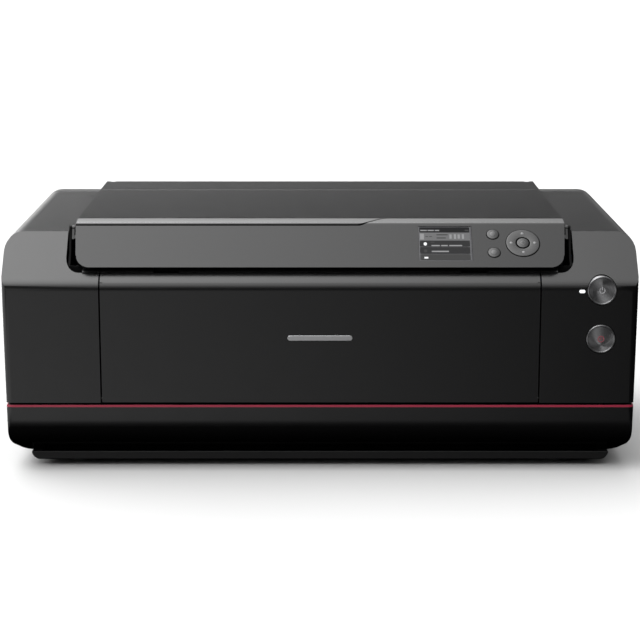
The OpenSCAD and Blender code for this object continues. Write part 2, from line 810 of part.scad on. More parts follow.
// Rubber-coated sleeves on a steel shaft
module roller_set(axis, r, half, count, length) {
    rod_x(gear_x[1] - 4, rail_x1 + 4, axis, shaft_r);
    for (i = [0:count - 1]) let (x = -half + length / 2 + i * (2 * half - length) / (count - 1))
        rod_x(x - length / 2, x + length / 2, axis, r);
}
module feed_roller() color("#55565a") {
    roller_set(feed_axis, roller_r, 222, 2, 216);
    gear(feed_axis, feed_teeth, 0);
}
module exit_roller() color("#55565a") {
    roller_set(exit_axis, roller_r - 1, 216, sleeve_count, 36);
    gear(exit_axis, feed_teeth, 0);
}
module pinch_rollers() color("#77787a") {
    rod_x(rail_x0 - 4, rail_x1 + 4, pinch_axis, 2);
    for (x = [-190:76:190]) rod_x(x - 18, x + 18, pinch_axis, 5);
}
// Thin star wheels that hold the sheet down without smearing it
module spur_wheels() color("silver") {
    rod_x(rail_x0 - 4, rail_x1 + 4, spur_axis, 2);
    for (x = [-204:51:204]) along_x(x - 0.6, x + 0.6)
        translate(spur_axis)
            polygon([for (i = [0:23]) (i % 2 == 0 ? 8 : 6.4) * [cos(i * 15), sin(i * 15)]]);
}
module idler_gear() color("ivory") {
    gear(idler_axis, idler_teeth, 180 / idler_teeth);
    rod_x(gear_x[1], rail_x0 - 0.2, idler_axis, 3);
    rod_x(gear_x[0] - 2, gear_x[0], idler_axis, 3);
}
// The pinion's gap faces the feed gear's tooth
pinion_phase = 135 + 180 / pinion_teeth;
module motor_pinion() color("goldenrod") {
    along_x(gear_x[0], gear_x[1]) translate(pinion_axis) gear_outline(pinion_teeth, pinion_phase);
    rod_x(gear_x[1], rail_x0 + 11, pinion_axis, 2.5);
}
module pickup_roller() color("#3c3c3e") {
    rod_x(rail_x0 - 4, rail_x1 + 4, pickup_axis, 3);
    for (x = [-45, 45]) rod_x(x - 11, x + 11, pickup_axis, 11);
}

// Ribbed bed that the sheet crosses under the head
module platen() color("#141415") {
    difference() {
        box([-300, 134, 104], [206, 218, 116]);
        box([-296, 138, 100], [202, 214, 112]);
        for (x = [-228, 190]) box([x, 150, 110], [x + 10, 206, 120]);
    }
    for (x = [-210:35:175]) box([x - 1, 138, 115], [x + 1, 214, 118.6]);
    box([rail_x0, 150, 104], [-299, 200, 108]);
    box([205, 150, 104], [212, 200, 108]);
}

// Service station under the parked head
module purge_base() color("#1d1d1f") translate([park_x, 0, 0]) {
    difference() {
        box([-50, 134, 86], [60, 216, 112]);
        box([-42, 142, 92], [42, 208, 113]);
    }
    box([59, 150, 86], [rail_x1 - park_x, 200, 90]);
}
module cap_unit() color("#333338") translate([park_x, 0, 0]) {
    box([-40, 144, 100], [40, 206, 117]);
    difference() {
        box([-36, 148, 117], [36, 202, 121.9]);
        for (x = [-33, 2]) box([x, 151, 118], [x + 31, 199, 123]);
    }
}
// Replaceable ink-waste cartridge that slides out through the right wall
module maintenance_cartridge() color("#2b2b2d") {
    box([222, cart_y[0], cart_z[0]], [356, cart_y[1], cart_z[1]]);
    difference() {
        box([356, cart_y[0], cart_z[0]], [358.6, cart_y[1], cart_z[1]]);
        box([357.2, 150, 52], [360, 190, 68]);
    }
}

// ---------------------------------------------------------------- electronics

module main_board() color("darkgreen") {
    box([60, 288, 36], [300, 378, 37.6]);
    // chips, as [x, y, width, depth]
    for (p = [[90, 300, 30, 30], [140, 300, 22, 22], [180, 330, 16, 12], [230, 305, 40, 14],
              [250, 340, 14, 14]])
        box([p[0], p[1], 37.6], [p[0] + p[2], p[1] + p[3], 41]);
    for (x = [66, 290], y = [294, 370])
        translate([x, y, housing_z + wall]) cylinder(h = 36 - housing_z - wall, r = 3);
}
module power_supply() color("gray") box([-300, 285, housing_z + wall], [-150, 366, 70]);

// Appliance inlet with three flat contacts
module power_inlet() color("#111111") {
    difference() {
        box([inlet_x - 14, 366, inlet_z - 12], [inlet_x + 14, shell_d - 0.3, inlet_z + 12]);
        box([inlet_x - 12, shell_d - 16, inlet_z - 8.5], [inlet_x + 12, shell_d + 1, inlet_z + 8.5]);
    }
    for (x = [inlet_x - 7, inlet_x, inlet_x + 7])
        box([x - 1, shell_d - 16, inlet_z - 2], [x + 1, shell_d - 3, inlet_z + 2]);
}
module data_ports() color("silver") {
    difference() {
        box([usb_x - 6.2, 378, port_z - 5.8], [usb_x + 6.2, shell_d - 0.3, port_z + 5.8]);
        box([usb_x - 4.3, shell_d - 12, port_z - 4], [usb_x + 4.3, shell_d, port_z + 4]);
    }
    difference() {
        box([lan_x - 8.2, 378, port_z - 7], [lan_x + 8.2, shell_d - 0.3, port_z + 7]);
        box([lan_x - 6, shell_d - 12, port_z - 5], [lan_x + 6, shell_d, port_z + 3.5]);
    }
}

// ---------------------------------------------------------------- ink tanks

tank_pitch = 41;
tank_w = 37;
bay_half = tank_count * tank_pitch / 2 + 2;
function tank_x(i) = (i - (tank_count - 1) / 2) * tank_pitch;
module tank_bay() color("#1b1b1d") {
    difference() {
        box([-bay_half - 2, 28, 158], [bay_half + 2, 92.5, 222]);
        box([-bay_half + 1, 31, 161], [bay_half - 1, 89.5, 240]);
    }
    // beam between the side frames
    box([rail_x0, 92, 158], [rail_x1, 98, 176]);
}
module ink_tanks() color("#2a2a30")
    for (i = [0:tank_count - 1]) box([tank_x(i) - tank_w / 2, 32, 161.2], [tank_x(i) + tank_w / 2, 88.5, 229]);

// ---------------------------------------------------------------- nodes

placed() rubber_feet();
placed() base_plate();
placed() lower_housing();
placed() accent_strip();
placed() left_front_cover();
placed() right_front_cover();
placed() left_side_cover();
placed() right_side_cover();
placed() rear_cover();
placed() upper_frame();
placed() case_screws();
placed() output_door();
placed() output_tray_panel();
placed() output_extension();
placed() name_plate();
placed() control_fascia();
placed() lcd_screen();
placed() home_button();
placed() back_button();
placed() direction_ring();
placed() ok_button();
placed() top_cover();
placed() rear_tray_cover();
placed() paper_support_middle();
placed() paper_support_top();
placed() rear_tray();
placed() paper_guide_left();
placed() paper_guide_right();
placed() manual_feed_tray();
placed() power_button();
placed() stop_button();
placed() power_lamp();
placed() side_frames();
placed() carriage_rail();
placed() guide_shaft();
placed() encoder_strip();
placed() timing_belt();
placed() drive_pulley();
placed() idler_pulley();
placed() drive_motors();
placed() carriage();
placed() print_head();
placed() head_lock_lever();
placed() platen();
placed() feed_roller();
placed() pinch_rollers();
placed() exit_roller();
placed() spur_wheels();
placed() idler_gear();
placed() motor_pinion();
placed() pickup_roller();
placed() purge_base();
placed() cap_unit();
placed() maintenance_cartridge();
placed() main_board();
placed() power_supply();
placed() power_inlet();
placed() data_ports();
placed() tank_bay();
placed() ink_tanks();
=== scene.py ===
"""Desktop inkjet photo printer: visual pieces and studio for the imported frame."""

import json

import bmesh
import bpy
import numpy as np
from bpy.props import FloatProperty, FloatVectorProperty, IntProperty, PointerProperty
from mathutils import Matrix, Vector

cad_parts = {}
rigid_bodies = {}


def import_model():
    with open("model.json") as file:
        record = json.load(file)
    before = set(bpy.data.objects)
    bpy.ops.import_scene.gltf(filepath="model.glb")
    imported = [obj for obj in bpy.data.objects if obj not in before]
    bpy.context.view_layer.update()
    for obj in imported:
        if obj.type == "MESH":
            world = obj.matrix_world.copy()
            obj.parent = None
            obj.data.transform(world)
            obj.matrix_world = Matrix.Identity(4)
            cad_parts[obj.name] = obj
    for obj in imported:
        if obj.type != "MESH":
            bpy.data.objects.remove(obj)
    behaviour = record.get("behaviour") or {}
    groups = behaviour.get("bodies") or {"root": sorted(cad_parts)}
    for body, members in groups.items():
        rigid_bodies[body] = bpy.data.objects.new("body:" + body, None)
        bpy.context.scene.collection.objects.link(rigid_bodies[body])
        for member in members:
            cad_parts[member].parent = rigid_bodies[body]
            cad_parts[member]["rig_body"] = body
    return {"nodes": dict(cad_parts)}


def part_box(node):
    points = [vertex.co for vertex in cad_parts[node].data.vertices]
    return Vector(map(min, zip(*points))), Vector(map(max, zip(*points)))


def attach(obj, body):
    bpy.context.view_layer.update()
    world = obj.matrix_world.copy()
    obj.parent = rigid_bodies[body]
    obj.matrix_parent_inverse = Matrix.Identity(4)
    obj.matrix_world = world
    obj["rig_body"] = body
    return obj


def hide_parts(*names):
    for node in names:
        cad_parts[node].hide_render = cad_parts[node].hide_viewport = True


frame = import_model()

bl_info = {
    "name": "Photo printer",
    "version": (1, 0, 0),
    "blender": (4, 5, 0),
    "location": "View3D > Sidebar > Printer",
    "description": "Builds the printer's covers, controls, paper path and studio round a packed frame",
    "category": "Add Mesh",
}

MM = 0.001
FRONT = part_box("output_door")[0].y          # plane of the front face
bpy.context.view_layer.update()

# Control fascia: its lean, and the line along its lower edge in mm (back from the front face, up)
FASCIA_ANGLE = np.radians(42.5)
FASCIA_Y, FASCIA_Z = 5.0, 239.0

# Lip above the door: the heights it lies between, and how far back its sloping front reaches, in metres
LIP_LOW, LIP_HIGH, LIP_BACK = 0.232, 0.2365, 0.0135

# Push buttons and keys, in mm
KEY_RADIUS = 6.85
KEY_FOOT = -5                               # how deep the keys reach under the fascia
RING_INNER, RING_OUTER = 8.05, 19.05
RING_TOP = 0.8
DIRECTION_MARKS_AT = 13.4                   # radius on which the ring's four marks lie

# Mesh finish
MERGE_DISTANCE = 2e-6
FLAT_ANGLE = np.radians(0.6)                # faces closer than this are joined
BEVEL_ANGLE = np.radians(30)                # edges sharper than this are rounded
SHARP_ANGLE = np.radians(38)                # edges sharper than this stay sharp in the shading


def middle(node):
    """Centre of a node's box in mm: across, back from the front face, up."""
    low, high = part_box(node)
    c = (low + high) / 2 / MM
    return c.x, c.y - FRONT / MM, c.z


def place_on_fascia(node):
    """Centre of a node on the fascia in mm: across, and up its slope."""
    x, y, z = middle(node)
    return x, (y - FASCIA_Y) * np.cos(FASCIA_ANGLE) + (z - FASCIA_Z) * np.sin(FASCIA_ANGLE)


SCREEN_AT = place_on_fascia("lcd_screen")
RING_AT = place_on_fascia("direction_ring")
HOME_AT = place_on_fascia("home_button")
BACK_AT = place_on_fascia("back_button")
POWER_AT = middle("power_button")[0::2]
STOP_AT = middle("stop_button")[0::2]


# ------------------------------------------------------------------ sizes and colours

class PrinterSizes(bpy.types.PropertyGroup):
    edge_round: FloatProperty(name="Edge rounding", description="Radius on the edges of the covers",
                              default=0.0009, min=0.0002, max=0.003, unit="LENGTH")
    fine_edge_round: FloatProperty(name="Fine edge rounding",
                                   description="Radius on the edges of inner pieces",
                                   default=0.0004, min=0.0001, max=0.001, unit="LENGTH")
    key_dome: FloatProperty(name="Key dome", description="How far the round keys are domed",
                            default=0.0006, min=0.0, max=0.001, unit="LENGTH")
    round_steps: IntProperty(name="Steps in a turn", description="Facets round a turned piece",
                             default=96, min=48, max=160)


class PrinterColours(bpy.types.PropertyGroup):
    cover: FloatVectorProperty(name="Covers", description="Moulded outer covers", subtype="COLOR",
                               size=3, min=0, max=1, default=(0.0046, 0.0046, 0.0048))
    lid: FloatVectorProperty(name="Lid", description="Lid and control fascia", subtype="COLOR",
                             size=3, min=0, max=1, default=(0.005, 0.005, 0.0052))
    inner: FloatVectorProperty(name="Inner plastic", description="Black plastic inside",
                               subtype="COLOR", size=3, min=0, max=1, default=(0.0042, 0.0042, 0.0044))
    accent: FloatVectorProperty(name="Accent strip", description="Line round the front", subtype="COLOR",
                                size=3, min=0, max=1, default=(0.3, 0.022, 0.05))
    metal: FloatVectorProperty(name="Spun metal", description="Faces of the push buttons", subtype="COLOR",
                               size=3, min=0, max=1, default=(0.24, 0.24, 0.245))


class PrinterStudio(bpy.types.PropertyGroup):
    paper: FloatVectorProperty(name="Floor", description="Paper that the printer stands on",
                               subtype="COLOR", size=3, min=0, max=1, default=(0.42, 0.42, 0.42))
    dome_left: FloatProperty(name="Dome, left", description="Light from the upper left",
                             default=7.2, min=0)
    dome_right: FloatProperty(name="Dome, right", description="Light from the upper right",
                              default=1.0, min=0)
    under_left: FloatProperty(name="Under, left", description="Reflection from below, left",
                              default=0.95, min=0)
    under_right: FloatProperty(name="Under, right", description="Reflection from below, right",
                               default=0.0, min=0)
    glow: FloatProperty(name="Horizon behind", description="Share of the dome's light low behind",
                        default=0.3, min=0, max=1, subtype="FACTOR")
    behind: FloatProperty(name="Above it", description="Share of the dome's light just above that",
                          default=0.0, min=0, max=1, subtype="FACTOR")


# ------------------------------------------------------------------ materials

def shader(name):
    """A material with a Principled shader; returns it, its node tree and the shader node."""
    mat = bpy.data.materials.new(name)
    mat.use_nodes = True
    tree = mat.node_tree
    return mat, tree, tree.nodes["Principled BSDF"]


def noise(tree, scale, detail=2.0, rough=0.5, stretch=None):
    """Noise on Object coordinates, in cycles per metre; stretch scales each axis."""
    coord = tree.nodes.new("ShaderNodeTexCoord")
    node = tree.nodes.new("ShaderNodeTexNoise")
    node.inputs["Scale"].default_value = scale
    node.inputs["Detail"].default_value = detail
    node.inputs["Roughness"].default_value = rough
    if stretch:
        mapping = tree.nodes.new("ShaderNodeMapping")
        mapping.inputs["Scale"].default_value = stretch
        tree.links.new(coord.outputs["Object"], mapping.inputs["Vector"])
        tree.links.new(mapping.outputs["Vector"], node.inputs["Vector"])
    else:
        tree.links.new(coord.outputs["Object"], node.inputs["Vector"])
    return node.outputs["Fac"]


def spread(tree, fac, low, high, start=0.3, end=0.7, smooth=False):
    """Maps a factor onto the range low to high."""
    node = tree.nodes.new("ShaderNodeMapRange")
    node.interpolation_type = "SMOOTHSTEP" if smooth else "LINEAR"
    node.inputs["From Min"].default_value = start
    node.inputs["From Max"].default_value = end
    node.inputs["To Min"].default_value = low
    node.inputs["To Max"].default_value = high
    tree.links.new(fac, node.inputs["Value"])
    return node.outputs["Result"]


def tint(tree, fac, one, two):
    """Colour between one and two, by a factor."""
    node = tree.nodes.new("ShaderNodeMix")
    node.data_type = "RGBA"
    node.inputs[6].default_value = (*one, 1)
    node.inputs[7].default_value = (*two, 1)
    tree.links.new(fac, node.inputs[0])
    return node.outputs[2]


def blended(tree, fac, one, two):
    """One value to another by a factor; either end is a socket or a number."""
    node = tree.nodes.new("ShaderNodeMix")
    tree.links.new(fac, node.inputs[0])
    for value, socket in ((one, node.inputs[2]), (two, node.inputs[3])):
        if isinstance(value, float):
            socket.default_value = value
        else:
            tree.links.new(value, socket)
    return node.outputs[0]


def product(tree, one, two):
    """Two values multiplied."""
    node = tree.nodes.new("ShaderNodeMath")
    node.operation = "MULTIPLY"
    tree.links.new(one, node.inputs[0])
    tree.links.new(two, node.inputs[1])
    return node.outputs[0]


def bump(tree, bsdf, fac, depth):
    """Relief of the given depth in metres from a factor."""
    node = tree.nodes.new("ShaderNodeBump")
    node.inputs["Distance"].default_value = depth
    tree.links.new(fac, node.inputs["Height"])
    tree.links.new(node.outputs["Normal"], bsdf.inputs["Normal"])


def scaled(colour, k):
    """A colour made lighter or darker by a factor."""
    return tuple(min(1.0, c * k) for c in colour)


def plastic(name, colour, rough=0.42, grain=1500.0, depth=0.00004, specular=0.5):
    """Moulded plastic: a fine spark-eroded grain, with slow patches of wear in its gloss and colour."""
    mat, tree, bsdf = shader(name)
    slow = noise(tree, 14.0, 3.0)
    tree.links.new(tint(tree, slow, scaled(colour, 0.95), scaled(colour, 1.05)),
                   bsdf.inputs["Base Color"])
    fine = noise(tree, grain, 2.0, 0.6)
    tree.links.new(spread(tree, noise(tree, 45.0, 4.0), rough - 0.012, rough + 0.012),
                   bsdf.inputs["Roughness"])
    bsdf.inputs["Specular IOR Level"].default_value = specular
    bump(tree, bsdf, fine, depth)
    return mat


def rubber(name, colour, rough=0.75):
    """Ground rubber: matt, with a fine pitted grain and dusty patches."""
    mat, tree, bsdf = shader(name)
    dust = noise(tree, 60.0, 5.0)
    tree.links.new(tint(tree, dust, scaled(colour, 0.8), scaled(colour, 1.35)),
                   bsdf.inputs["Base Color"])
    tree.links.new(spread(tree, dust, rough - 0.08, rough + 0.08), bsdf.inputs["Roughness"])
    bsdf.inputs["Specular IOR Level"].default_value = 0.3
    bump(tree, bsdf, noise(tree, 2400.0, 3.0), 0.00008)
    return mat


def metal(name, colour, rough=0.3, stretch=(1, 1, 1), grain=900.0):
    """Rolled or drawn metal: streaks of gloss along the rolling direction."""
    mat, tree, bsdf = shader(name)
    streaks = noise(tree, grain, 4.0, 0.6, stretch)
    tree.links.new(tint(tree, streaks, scaled(colour, 0.85), scaled(colour, 1.1)),
                   bsdf.inputs["Base Color"])
    tree.links.new(spread(tree, streaks, rough - 0.07, rough + 0.07), bsdf.inputs["Roughness"])
    bsdf.inputs["Metallic"].default_value = 1.0
    bump(tree, bsdf, streaks, 0.00001)
    return mat


def turned_metal(name, colour, centre, rough=0.42):
    """Face-turned metal: rings of fine grooves round the Y axis through a centre."""
    mat, tree, bsdf = shader(name)
    coord = tree.nodes.new("ShaderNodeTexCoord")
    mapping = tree.nodes.new("ShaderNodeMapping")
    mapping.inputs["Location"].default_value = tuple(-c for c in centre)
    tree.links.new(coord.outputs["Object"], mapping.inputs["Vector"])
    split = tree.nodes.new("ShaderNodeSeparateXYZ")
    flat = tree.nodes.new("ShaderNodeCombineXYZ")
    tree.links.new(mapping.outputs["Vector"], split.inputs["Vector"])
    tree.links.new(split.outputs["X"], flat.inputs["X"])
    tree.links.new(split.outputs["Z"], flat.inputs["Y"])
    wave = tree.nodes.new("ShaderNodeTexWave")
    wave.wave_type = "RINGS"
    wave.rings_direction = "SPHERICAL"
    wave.inputs["Scale"].default_value = 900.0
    wave.inputs["Distortion"].default_value = 0.4
    tree.links.new(flat.outputs["Vector"], wave.inputs["Vector"])
    tree.links.new(tint(tree, wave.outputs["Fac"], scaled(colour, 0.8), scaled(colour, 1.15)),
                   bsdf.inputs["Base Color"])
    bsdf.inputs["Metallic"].default_value = 1.0
    bsdf.inputs["Roughness"].default_value = rough
    bsdf.inputs["Anisotropic"].default_value = 0.85
    bsdf.inputs["Anisotropic Rotation"].default_value = 0.25
    tangent = tree.nodes.new("ShaderNodeTangent")
    tangent.direction_type = "UV_MAP"
    tangent.uv_map = "turning"
    tree.links.new(tangent.outputs["Tangent"], bsdf.inputs["Tangent"])
    bump(tree, bsdf, wave.outputs["Fac"], 0.000012)
    return mat


def glowing(name, colour, strength, rough=0.3, specular=0.5):
    """A lit surface, slightly uneven, with a glossy skin."""
    mat, tree, bsdf = shader(name)
    tree.links.new(tint(tree, noise(tree, 300.0), scaled(colour, 0.94), scaled(colour, 1.04)),
                   bsdf.inputs["Emission Color"])
    bsdf.inputs["Base Color"].default_value = (*scaled(colour, 0.2), 1)
    bsdf.inputs["Emission Strength"].default_value = strength
    bsdf.inputs["Specular IOR Level"].default_value = specular
    bsdf.inputs["Roughness"].default_value = rough
    return mat


# ------------------------------------------------------------------ mesh tools

def piece(name, verts, faces, body, mats, index=None, node=None):
    """Makes a mesh object at the origin, smooth where faces meet gently, and puts it on its body."""
    mesh = bpy.data.meshes.new(name)
    mesh.from_pydata(np.asarray(verts, float).tolist(), [], [tuple(map(int, f)) for f in faces])
    mesh.validate()
    obj = bpy.data.objects.new(name, mesh)
    bpy.context.scene.collection.objects.link(obj)
    for m in mats if isinstance(mats, (list, tuple)) else [mats]:
        mesh.materials.append(m)
    if index is not None:
        mesh.polygons.foreach_set("material_index", np.asarray(index, np.int32))
    mesh.polygons.foreach_set("use_smooth", np.ones(len(mesh.polygons), bool))
    mesh.set_sharp_from_angle(angle=SHARP_ANGLE)
    settle(obj, body, node)
    return obj


def settle(obj, body, node=None):
    """Fixes a piece to its body and hides the CAD node it stands for."""
    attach(obj, body)
    if node:
        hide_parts(*([node] if isinstance(node, str) else node))


def grid_faces(rows, cols, close_cols=False, start=0):
    """Quads of a grid of rows by cols points; close_cols joins the last column to the first."""
    r, c = np.meshgrid(np.arange(rows - 1), np.arange(cols if close_cols else cols - 1),
                       indexing="ij")
    nxt = (c + 1) % cols
    return (np.stack([r * cols + c, r * cols + nxt, (r + 1) * cols + nxt, (r + 1) * cols + c], -1)
            .reshape(-1, 4) + start)


def lathe(profile, steps):
    """Turns a profile of (radius, height) about the local Z axis: (r cos a, r sin a, height).
    Rows are profile points and columns the turn. The first and last points sit on the axis, which
    closes the surface."""
    prof = np.asarray(profile, float)
    a = np.linspace(0, 2 * np.pi, steps, endpoint=False)
    ring = np.stack([np.cos(a), np.sin(a)], -1)
    inner = prof[1:-1]
    heights = np.broadcast_to(inner[:, None, 1:], (len(inner), steps, 1))
    pts = np.concatenate([inner[:, None, :1] * ring[None], heights], -1)
    verts = np.concatenate([[[0, 0, prof[0, 1]]], pts.reshape(-1, 3), [[0, 0, prof[-1, 1]]]])
    faces = [tuple(f) for f in grid_faces(len(inner), steps, True, 1)]
    last = len(verts) - 1
    base = 1 + (len(inner) - 1) * steps
    j = np.arange(steps)
    faces += [(0, 1 + int(k + 1) % steps, 1 + int(k)) for k in j]
    faces += [(last, base + int(k), base + int(k + 1) % steps) for k in j]
    return verts, faces


def rounded(points, radius, steps=4):
    """Profile with each inner corner rounded by an arc-like quadratic curve."""
    p = np.asarray(points, float)
    out = [p[0]]
    t = np.linspace(0, 1, steps)[:, None]
    for a, b, c in zip(p[:-2], p[1:-1], p[2:]):
        ra = min(radius, np.linalg.norm(a - b) * 0.45)
        rc = min(radius, np.linalg.norm(c - b) * 0.45)
        s = b + (a - b) / np.linalg.norm(a - b) * ra
        e = b + (c - b) / np.linalg.norm(c - b) * rc
        out.extend((1 - t) ** 2 * s + 2 * t * (1 - t) * b + t ** 2 * e)
    out.append(p[-1])
    return np.array(out)


def facing_front(verts, x, z):
    """Local (x, y, height) of a turned piece to the frame: height points out of the front face."""
    v = np.asarray(verts) * MM
    return np.stack([v[:, 0] + x * MM, FRONT - v[:, 2], v[:, 1] + z * MM], -1)


def on_fascia(verts, at):
    """Local (across, up the slope, outward) of a piece on the fascia to the frame, in mm."""
    v = np.asarray(verts, float)
    c, s = np.cos(FASCIA_ANGLE), np.sin(FASCIA_ANGLE)
    up = v[:, 1] + at[1]
    y = FASCIA_Y + up * c - v[:, 2] * s
    z = FASCIA_Z + up * s + v[:, 2] * c
    return np.stack([(v[:, 0] + at[0]) * MM, FRONT + y * MM, z * MM], -1)


def finished_copy(node, mats, width, segments=2):
    """A merged copy of a CAD node, with its flat faces joined and its edges rounded.
    It stands for the node."""
    source = frame["nodes"][node]
    work = bmesh.new()
    work.from_mesh(source.data)
    bmesh.ops.remove_doubles(work, verts=work.verts, dist=MERGE_DISTANCE)
    bmesh.ops.dissolve_limit(work, angle_limit=FLAT_ANGLE, verts=work.verts, edges=work.edges)
    mesh = bpy.data.meshes.new(node + "_finish")
    work.to_mesh(mesh)
    work.free()
    obj = bpy.data.objects.new(node + "_finish", mesh)
    bpy.context.scene.collection.objects.link(obj)
    mesh.materials.clear()
    for m in mats if isinstance(mats, (list, tuple)) else [mats]:
        mesh.materials.append(m)
    mesh.polygons.foreach_set("material_index", np.zeros(len(mesh.polygons), np.int32))
    bevel = obj.modifiers.new("edges", "BEVEL")
    bevel.width, bevel.segments = width, segments
    bevel.limit_method, bevel.angle_limit = "ANGLE", BEVEL_ANGLE
    bevel.use_clamp_overlap = True
    bpy.context.view_layer.update()
    done = bpy.data.meshes.new_from_object(obj.evaluated_get(bpy.context.evaluated_depsgraph_get()))
    obj.modifiers.clear()
    obj.data = done
    done.polygons.foreach_set("use_smooth", np.ones(len(done.polygons), bool))
    done.set_sharp_from_angle(angle=SHARP_ANGLE)
    weigh = obj.modifiers.new("even", "WEIGHTED_NORMAL")
    weigh.keep_sharp = True
    body = frame["nodes"][node]["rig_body"]
    settle(obj, body, node)
    return obj


def face_centres(mesh):
    """Centres and normals of a mesh's faces, as two arrays of rows."""
    centre = np.zeros(len(mesh.polygons) * 3)
    normal = np.zeros(len(mesh.polygons) * 3)
    mesh.polygons.foreach_get("center", centre)
    mesh.polygons.foreach_get("normal", normal)
    return centre.reshape(-1, 3), normal.reshape(-1, 3)


def dress(node, mat):
    """Gives a CAD node that stays as it is a procedural material."""
    obj = frame["nodes"][node]
    obj.data.materials.clear()
    obj.data.materials.append(mat)


def sizes():
    return bpy.context.scene.printer_sizes


def colours():
    return bpy.context.scene.printer_colours


def studio():
    return bpy.context.scene.printer_studio


def material(name, build):
    """The material of that name, built once."""
    return bpy.data.materials.get(name) or build(name)


def cover_plastic():
    return material("cover_plastic", lambda n: plastic(n, colours().cover, 0.23, 1500.0, 0.00001))


def lid_plastic():
    return material("lid_plastic", lambda n: plastic(n, colours().lid, 0.2, 1500.0, 0.000008, 0.32))


def black_plastic():
    return material("black_plastic", lambda n: plastic(n, colours().inner, 0.36, 1700.0, 0.00003))


def inner_plastic():
    return material("inner_plastic", lambda n: plastic(
        n, scaled(colours().inner, 1.5), 0.55, 1100.0, 0.00006, 0.35))


# Inner plastic at 0.6 of its colour and with almost no gloss: painted shade for the recess round the
# fascia.
def recess_black():
    return material("recess_black", lambda n: plastic(
        n, scaled(colours().inner, 0.6), 0.6, 1100.0, 0.00006, 0.06))


# ------------------------------------------------------------------ operators

class PRINTER_OT_covers(bpy.types.Operator):
    """Outer covers, lower housing, base plate and feet"""
    bl_idname = "printer.covers"
    bl_label = "Covers"

    def execute(self, context):
        width = sizes().edge_round
        for node in ("left_front_cover", "right_front_cover", "left_side_cover", "right_side_cover"):
            self.cover(node, width)
        finished_copy("lower_housing", cover_plastic(), width, 3)
        finished_copy("rear_cover", black_plastic(), width, 3)
        finished_copy("base_plate", material("plate_plastic", lambda n: plastic(
            n, colours().inner, 0.5, 1300.0, 0.00004, 0.3)), width * 1.5, 3)
        self.frame_and_lip()
        finished_copy("rubber_feet", material("foot_rubber", lambda n: rubber(
            n, (0.02, 0.02, 0.02))), width, 3)
        finished_copy("accent_strip", material("accent_paint", lambda n: plastic(
            n, colours().accent, 0.3, 900.0, 0.00001, 0.5)), 0.0002)
        finished_copy("case_screws", material("screw_metal", lambda n: metal(
            n, (0.45, 0.45, 0.46), 0.3)), 0.0003)
        return {"FINISHED"}

    @staticmethod
    def cover(node, width):
        """An outer cover; its walls that face the middle, beside the fascia and the door, are matt."""
        obj = finished_copy(node, [cover_plastic(), inner_plastic()], width, 3)
        centre, normal = face_centres(obj.data)
        inward = -normal[:, 0] * np.sign(centre[:, 0]) > 0.9
        obj.data.polygons.foreach_set("material_index", inward.astype(np.int32))

    @staticmethod
    def frame_and_lip():
        """The inner frame, darkened and nearly glossless as painted shade so the recess round the fascia
        reads black; the sloping front of its lip above the door has the lid's finish.
        """
        obj = finished_copy("upper_frame", [recess_black(), lid_plastic()], sizes().fine_edge_round)
        centre, _ = face_centres(obj.data)
        height = centre[:, 2]
        lip = (height > LIP_LOW) & (height < LIP_HIGH) & (centre[:, 1] < FRONT + LIP_BACK)
        obj.data.polygons.foreach_set("material_index", lip.astype(np.int32))


class PRINTER_OT_door(bpy.types.Operator):
    """Output door with its inner tray, extension and nameplate"""
    bl_idname = "printer.door"
    bl_label = "Output door"

    def execute(self, context):
        finished_copy("output_door", cover_plastic(), sizes().edge_round, 3)
        finished_copy("output_tray_panel", inner_plastic(), sizes().fine_edge_round)
        finished_copy("output_extension", inner_plastic(), sizes().fine_edge_round)
        finished_copy("name_plate", material("plate_metal", lambda n: metal(
            n, (0.62, 0.62, 0.63), 0.34, (0.04, 1, 1), 2500.0)), 0.0003, 3)
        return {"FINISHED"}


